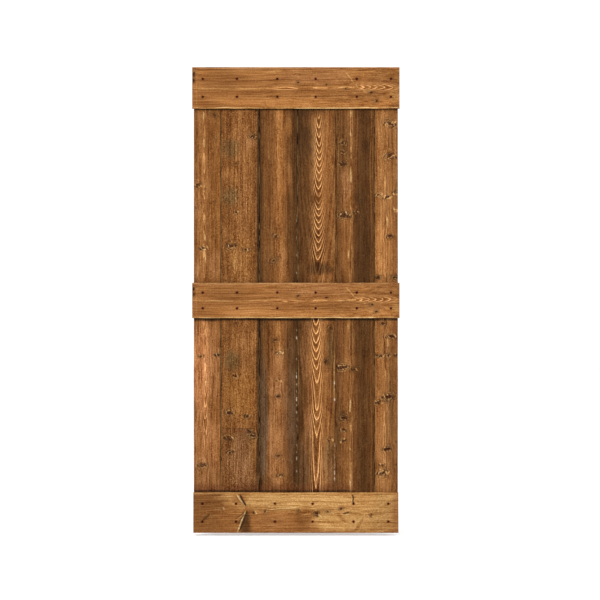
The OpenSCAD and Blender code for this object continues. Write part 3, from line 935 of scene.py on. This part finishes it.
def wood_material(name, board):
    """Stained softwood: growth rings round the board's heart, fibres, knots and worn arrises."""
    material = bpy.data.materials.new(name + "_stained_pine")
    n = Nodes(material)
    heart = n.add("VectorMath", n.attribute("heart", 1), (0, 0, 3.7 * board["seed"]), operation="ADD")
    tone, steep = n.attribute("tone", 0), n.attribute("tone", 3)
    glow, wear, speckle = n.parts(n.attribute("marks", 1))

    rings, part, line = growth_rings(n, heart, steep, board)
    late = n.curve(part, [(0.0, 0.0), (0.3, 0.05), (0.5, 1.0), (0.6, 0.8), (0.7, 0.0)])
    fibre = n.grain(heart, 1100, 16, 3, 0.65)
    shade = stain_swing(n, heart, rings, part, late, fibre, speckle, board)
    wood = n.mix(1.0, tone, shade, "MULTIPLY")
    pores = n.span(n.grain(heart, 1500, 60, 1), 0.62, 0.72, 0.0, 0.45)
    wood = n.mix(pores, wood, PORE)
    wood = n.mix(n.times(line, glow), wood, n.mix(0.75, wood, node_colour("apricot")))
    wood, core = knotted(n, wood, heart, n.parts(n.attribute("knots", 1)))

    # worn arrises show pale wood, and sawn ends drink more stain
    wood = n.mix(wear, wood, node_colour("wheat"))
    normal = n.parts(n.add("NewGeometry", output=1))
    end = n.span(n.math("ABSOLUTE", normal[0 if name.endswith("rail") else 2]), 0.75, 0.95)
    end_rings = n.span(part, 0.35, 0.95, 0.75, 0.38)
    end_wood = n.mix(1.0, wood, n.add("CombineColor", end_rings, end_rings, end_rings), "MULTIPLY")
    wood = n.mix(end, wood, end_wood)

    gloss = n.total(0.56, n.around(fibre, 0.22), n.times(late, -0.08), n.times(core, -0.10))
    height = n.total(n.times(fibre, 0.55), n.times(late, 0.35), n.times(pores, -0.8), n.times(core, 0.35))
    n.surface(wood, gloss, WOOD_INDEX, height, WOOD_RELIEF)
    return material


# ---- board meshes

RAILS = ("top_rail", "middle_rail", "bottom_rail")
PLANKS = 6
PLANK_T = 19.0
TONGUE_OUT = 7.0
TONGUE_T = 6.0
GROOVE_DEEP = 7.2
GROOVE_T = 6.4
V_BEVEL = 2.5
EDGE_EASE = 1.0
RAIL_EASE = 2.0
PLANK_END_EASE, RAIL_END_EASE = 0.8, 0.5
CUT_EASE = 0.3  # round the small corners
FACE_CELL = 2.3  # width of the mesh cells on a front face, on the back and on the edges
BACK_CELL = 5.5
EDGE_CELL = 3.2
LONG_CELL = 8.0  # length of the cells, and where there is a knot
KNOT_CELL = 2.6
END_PLACES = np.array([0.15, 0.5, 1.0, 1.6, 2.4])  # cells that follow a board's eased end
SHARP = math.radians(40)


def tube(rings, sides):
    """Faces over that many rings of points, each with so many sides, and over both its ends."""
    last = (rings - 1) * sides
    faces = []
    for here in range(0, last, sides):
        there = here + sides
        for side in range(sides):
            after = (side + 1) % sides
            faces.append((here + side, there + side, there + after, here + after))
    return faces + [tuple(range(sides)), tuple(reversed(range(last, last + sides)))]


def rounded(corners):
    """An outline through (across, deep, radius) corners, each turned in an arc of its radius."""
    points = []
    for number, (x, y, radius) in enumerate(corners):
        here = np.array([x, y], float)
        if radius <= 0:
            points.append(here)
            continue
        before = np.array(corners[number - 1][:2], float) - here
        after = np.array(corners[(number + 1) % len(corners)][:2], float) - here
        before /= np.linalg.norm(before)
        after /= np.linalg.norm(after)
        back = radius / math.tan(math.acos(np.clip(before @ after, -1, 1)) / 2)
        steps = 5 if radius > 1 else 3 if radius > 0.5 else 2
        for step in range(steps + 1):
            t = step / steps
            a, b = here + before * back * (1 - t), here + after * back * t
            points.append(a * (1 - t) + b * t)
    return points


def divided(outline):
    """The outline with its straight stretches cut into cells, fine on the front face."""
    result = []
    for here, there in zip(outline, outline[1:] + outline[:1]):
        on_face = max(here[1], there[1]) < 0.5
        on_back = min(here[1], there[1]) > PLANK_T - 0.5
        cell = FACE_CELL if on_face else BACK_CELL if on_back else EDGE_CELL
        count = max(1, round(np.linalg.norm(there - here) / cell))
        result += [here + (there - here) * i / count for i in range(count)]
    return np.array(result)


def plank_outline(width, grooved, tongued):
    left = V_BEVEL if grooved else EDGE_EASE
    right = V_BEVEL if tongued else EDGE_EASE
    face = width - (TONGUE_OUT if tongued else 0)
    corners = [(left, 0, 0.7), (0, left, CUT_EASE)]
    if grooved:
        low, high = (PLANK_T - GROOVE_T) / 2, (PLANK_T + GROOVE_T) / 2
        corners += [(0, low, 0.2), (GROOVE_DEEP, low, 0), (GROOVE_DEEP, high, 0), (0, high, 0.2)]
    corners += [(0, PLANK_T - EDGE_EASE, CUT_EASE), (EDGE_EASE, PLANK_T, CUT_EASE)]
    corners += [(face - EDGE_EASE, PLANK_T, CUT_EASE), (face, PLANK_T - EDGE_EASE, CUT_EASE)]
    if tongued:
        low, high = (PLANK_T - TONGUE_T) / 2, (PLANK_T + TONGUE_T) / 2
        corners += [(face, high, 0), (width - 1, high, CUT_EASE), (width, high - 1, CUT_EASE)]
        corners += [(width, low + 1, CUT_EASE), (width - 1, low, CUT_EASE), (face, low, 0)]
    return divided(rounded(corners + [(face, right, CUT_EASE), (face - right, 0, 0.7)]))


def rail_outline(width):
    back = [(0, PLANK_T, CUT_EASE), (width, PLANK_T, CUT_EASE)]
    return divided(rounded([(0, 0, RAIL_EASE), *back, (width, 0, RAIL_EASE)]))


def stations(length, board):
    """Places along a board: close together at its ends, its knots and marks that cross the grain."""
    fine = [(knot[1] - 1.5 * knot[2], knot[1] + 1.5 * knot[2]) for knot in board["knots"]]
    for a0, g0, a1, g1, half, *_ in board["strokes"]:
        if abs(a1 - a0) > 0.25 * abs(g1 - g0):
            fine.append((min(g0, g1) - 1.5 * half, max(g0, g1) + 1.5 * half))
    places = [0.0]
    while places[-1] < length:
        close = any(low <= places[-1] <= high for low, high in fine)
        places.append(places[-1] + (KNOT_CELL if close else LONG_CELL))
    places = np.array(places) * length / places[-1]
    middle = places[(places > 4) & (places < length - 4)]
    return np.concatenate([[0.0], END_PLACES, middle, length - END_PLACES[::-1], [length]])


def swept(outline, places, end_ease):
    """Vertices and faces of the outline swept along the places, its ends eased."""
    ahead = np.roll(outline, -1, 0) - np.roll(outline, 1, 0)
    inward = np.column_stack([ahead[:, 1], -ahead[:, 0]])
    inward /= np.linalg.norm(inward, axis=1)[:, None]
    length = places[-1]
    verts = []
    for place in places:
        left = np.minimum(min(place, length - place), end_ease)
        inset = end_ease - np.sqrt(np.maximum(end_ease**2 - (end_ease - left) ** 2, 0))
        verts.append(np.column_stack([outline + inward * inset[:, None], np.full(len(outline), place)]))
    return np.concatenate(verts), tube(len(places), len(outline))


def relief(board, p):
    """How far a board's faces stand back from flat, in millimetres: hand-planed and worn."""
    seed, deep = board["seed"], p[:, 1]
    planed = face_noise(p, 34, 210, seed + 70) * 0.22 + face_noise(p, 9, 120, seed + 71) * 0.10
    dents = smooth(face_noise(p, 11, 16, seed + 72), 0.86, 1.0) * 0.35
    _, knots = knot_field(board, p)
    sunk = knots[:, 1] * 0.25 * smooth(np.abs(knots[:, 0] - 1.0), 0.45, 0.0)
    front = smooth(deep, 1.5, 0.2)
    back = smooth(deep, PLANK_T - 1.2, PLANK_T - 0.2)
    return (planed + dents + sunk) * (front - back)


def set_field(mesh, name, values):
    """Keeps three numbers, or a colour of four, at each vertex for the shader."""
    kind, slot = ("FLOAT_COLOR", "color") if values.shape[1] == 4 else ("FLOAT_VECTOR", "vector")
    layer = mesh.attributes.new(name, kind, "POINT")
    layer.data.foreach_set(slot, np.ascontiguousarray(values, np.float32).ravel())


def cut(thing, cutter):
    """Takes the cutter's shape out of the object's mesh, and clears the cutter away."""
    knife = thing.modifiers.new("cut", "BOOLEAN")
    knife.operation = "DIFFERENCE"
    knife.object = cutter
    knife.solver = "MANIFOLD"
    view = bpy.context.evaluated_depsgraph_get()
    mesh = bpy.data.meshes.new_from_object(thing.evaluated_get(view))
    thing.modifiers.clear()
    thing.data = mesh
    bpy.data.objects.remove(cutter)


def make_board(node, screws):
    """The detailed board that stands for a CAD node, with a hole for each of its screws."""
    board = BOARDS[node]
    low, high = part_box(node)
    rail = node in RAILS
    order = [2, 1, 0] if rail else [0, 1, 2]  # from the door's axes to (across, deep, along) and back
    width, _, length = np.array((high - low) / MM)[order]
    if rail:
        outline = rail_outline(width)
        end_ease = np.where(outline[:, 1] < RAIL_EASE, RAIL_EASE, RAIL_END_EASE)
        face_width = width
    else:
        number = int(node[-1])
        outline = plank_outline(width, number > 1, number < PLANKS)
        end_ease = np.full(len(outline), PLANK_END_EASE)
        face_width = width - (TONGUE_OUT if number < PLANKS else 0)
    verts, faces = swept(outline, stations(length, board), end_ease)
    if rail:
        faces = [face[::-1] for face in faces]
    verts = np.array(low) + verts[:, order] * MM
    thing = new_object(node + "_board", new_mesh(node + "_board", (verts.tolist(), faces)))
    cut(thing, holes_at(screws))

    mesh = thing.data
    mesh.name = thing.name
    places = np.empty(len(mesh.vertices) * 3)
    mesh.vertices.foreach_get("co", places)
    places = places.reshape(-1, 3)
    p = ((places - np.array(low)) / MM)[:, order]
    places[:, 1] += relief(board, p) * MM
    mesh.vertices.foreach_set("co", places.ravel())
    spots = [((z - low.z) / MM, (x - low.x) / MM) for x, z in screws] if rail else []
    for name, values in fields(board, p, face_width, spots).items():
        set_field(mesh, name, values)
    mesh.materials.clear()
    mesh.materials.append(wood_material(node, board))
    mesh.shade_smooth()
    mesh.set_sharp_from_angle(angle=SHARP)
    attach(thing, "root")
    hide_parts(node)
    return thing


# ---- screws and their holes, in millimetres

SCREW_SINK = 0.4
SCREW_TURN = 37.0  # each screw was driven this many degrees further round than the last
SCREW_SIDES, HOLE_SIDES = 28, 36
SCREW_BODY = [  # (radius, depth) from the head to the point
    (3.55, 0.0), (3.8, 0.06), (3.95, 0.2), (4.0, 0.4), (3.95, 0.52), (2.3, 2.2), (2.0, 2.7), (1.8, 3.4),
    (1.45, 4.2), (1.45, 26.0), (1.3, 27.4), (0.75, 30.0), (0.1, 32.0),
]
HOLE = [(4.15, -1.0), (4.15, 1.05), (2.25, 2.95), (2.25, 33.4)]
# the cross recess from its mouth inwards: (reach of an arm, half its width, depth)
RECESS = [(2.35, 0.52, -0.5), (2.05, 0.42, 0.8), (1.15, 0.36, 1.5), (0.5, 0.2, 2.1)]
THREAD = dict(start=5.5, end=31.4, root=1.45, crest=2.1, pitch=2.0, per_turn=14)
SCREW_SHARP = math.radians(35)
SAME_SCREW = 0.015  # points of the CAD's screws this close belong to one, in metres


def turned(profile, sides):
    """Vertices and faces of a (radius, depth) profile turned about the Y axis, both ends closed."""
    turns = [side / sides * math.tau for side in range(sides)]
    verts = [(r * math.cos(turn), depth, r * math.sin(turn)) for r, depth in profile for turn in turns]
    return verts, tube(len(profile), sides)


def thread(start, end, root, crest, pitch, per_turn):
    """A helical ridge from depth start to end, running out where it starts and at the point."""
    verts = []
    steps = round((end - start) / pitch * per_turn)
    for step in range(steps + 1):
        depth = start + (end - start) * step / steps
        turn = step / per_turn * math.tau
        fade = min(1, step / per_turn, (end - depth) / 6.0 + 0.12)
        out = root * min(1, (end - depth) / 6.0 + 0.1)
        rim = out + (crest - root) * fade
        low = out * 0.8
        for radius, shift in ((low, -0.55), (rim, -0.06), (rim, 0.06), (low, 0.55)):
            verts.append((radius * math.cos(turn), depth + shift * fade, radius * math.sin(turn)))
    return verts, [(a, d, c, b) for a, b, c, d in tube(steps + 1, 4)]


def recess():
    """The cross-shaped hollow in a head, as one closed shape that narrows as it goes in."""
    verts = []
    for reach, half, depth in RECESS:
        quarter = [(reach, -half), (reach, half), (half * 1.25, half * 1.25)]
        for turn in range(4):
            c, s = math.cos(turn * math.pi / 2), math.sin(turn * math.pi / 2)
            verts += [(x * c - z * s, depth, x * s + z * c) for x, z in quarter]
    return verts, tube(len(RECESS), 12)


def in_metres(shape):
    verts, faces = shape
    return [tuple(v * MM for v in vert) for vert in verts], faces


def gathered(shapes):
    """Several shapes put together as one."""
    verts, faces = [], []
    for more_verts, more_faces in shapes:
        base = len(verts)
        verts += more_verts
        faces += [tuple(base + i for i in face) for face in more_faces]
    return verts, faces


def screw_mesh():
    head = new_object("screw", new_mesh("screw", in_metres(turned(SCREW_BODY, SCREW_SIDES))))
    cut(head, new_object("hollow", new_mesh("hollow", in_metres(recess()))))
    shank = [tuple(v.co) for v in head.data.vertices], [tuple(f.vertices) for f in head.data.polygons]
    bpy.data.objects.remove(head)
    mesh = new_mesh("wood_screw", gathered([shank, in_metres(thread(**THREAD))]))
    mesh.shade_smooth()
    mesh.set_sharp_from_angle(angle=SCREW_SHARP)
    mesh.materials.append(screw_material())
    return mesh


def screw_material():
    """Black screws browned with wood stain, a little rubbed in places."""
    material = bpy.data.materials.new("black_screw")
    n = Nodes(material)
    place = n.add("TexCoord", output=3)
    cloud = n.noise(place, 700.0, 3, 0.6)
    grit = n.noise(place, 4200.0, 2, 0.6)
    colour = n.mix(n.span(cloud, 0.35, 0.7), (0.009, 0.0022, 0.0016, 1), (0.022, 0.007, 0.004, 1))
    rubbed = n.span(n.noise(place, 1500.0, 2, 0.7), 0.60, 0.72, 0.0, 0.35)
    colour = n.mix(rubbed, colour, (0.040, 0.026, 0.020, 1))
    roughness = n.total(0.6, n.around(grit, 0.3), n.around(cloud, 0.2))
    n.surface(colour, roughness, 1.12, n.total(grit, n.times(cloud, 0.5)), 0.00006)
    return material


def screw_places(rail):
    """The (x, z) of each screw of a rail's CAD node, left to right and the lower one first."""
    groups = []
    for x, _, z in (v.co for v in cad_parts[rail + "_screws"].data.vertices):
        for group in groups:
            if math.hypot(x - group[0][0], z - group[0][1]) < SAME_SCREW:
                group.append((x, z))
                break
        else:
            groups.append([(x, z)])
    middles = [(np.min(group, 0) + np.max(group, 0)) / 2 for group in groups]
    return sorted(middles, key=lambda m: (round(m[0], 3), m[1]))


def holes_at(places):
    """One cutter for the countersunk holes at all these places."""
    verts, faces = turned(HOLE, HOLE_SIDES)
    front = DOOR_LOW.y / MM
    shapes = [([(vx + x / MM, vy + front, vz + z / MM) for vx, vy, vz in verts], faces) for x, z in places]
    return new_object("holes", new_mesh("holes", in_metres(gathered(shapes))))


def make_screws(rail, places, mesh):
    for number, (x, z) in enumerate(places):
        screw = new_object(f"{rail}_screw_{number + 1}", mesh)
        screw.location = (x, DOOR_LOW.y + SCREW_SINK * MM, z)
        screw.rotation_euler = (0, math.radians(SCREW_TURN * number), 0)
        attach(screw, "root")
        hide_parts(rail + "_screws")


# ---- run

WHOLE_WIDTH = 200  # more than any plank is wide
BLACK_LINE = 735.0  # how far from the door's left the painted shadow above the bottom rail ends


def rail_edge(rail, side):
    """How high a rail's lower (0) or upper (1) edge is above the door's foot."""
    return (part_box(rail)[side].z - DOOR_LOW.z) / MM


def grime(left):
    """The painted shadow of the rails on a plank whose left edge is this far across the door: dark lines
    under the middle and top rails and above the bottom one.
    """
    rows = [
        (rail_edge("middle_rail", 0) - 4, WHOLE_WIDTH, 7.0, "pitch", 0.9),
        (rail_edge("top_rail", 0) - 3, WHOLE_WIDTH, 4.0, "pitch", 0.7),
    ]
    reach = min(BLACK_LINE - left, WHOLE_WIDTH)
    if reach > 10:
        ledge = rail_edge("bottom_rail", 1)
        # above the bottom rail a black line of painted shadow, with a softer painted shade over it
        rows += [(ledge + 5, reach, 6.5, "pitch", 0.95), (ledge + 21, reach, 16.0, "rust-", 0.6)]
    return rows


camera()
lights()
stage()

screws = {rail: screw_places(rail) for rail in RAILS}
for number in range(1, PLANKS + 1):
    node = f"plank_{number}"
    low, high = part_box(node)
    BOARDS[node]["grime"] = grime((low.x - DOOR_LOW.x) / MM)
    through = [place for rail in RAILS for place in screws[rail] if low.x < place[0] < high.x]
    make_board(node, through)
for rail in RAILS:
    make_board(rail, screws[rail])
shared_screw = screw_mesh()
for rail in RAILS:
    make_screws(rail, screws[rail], shared_screw)
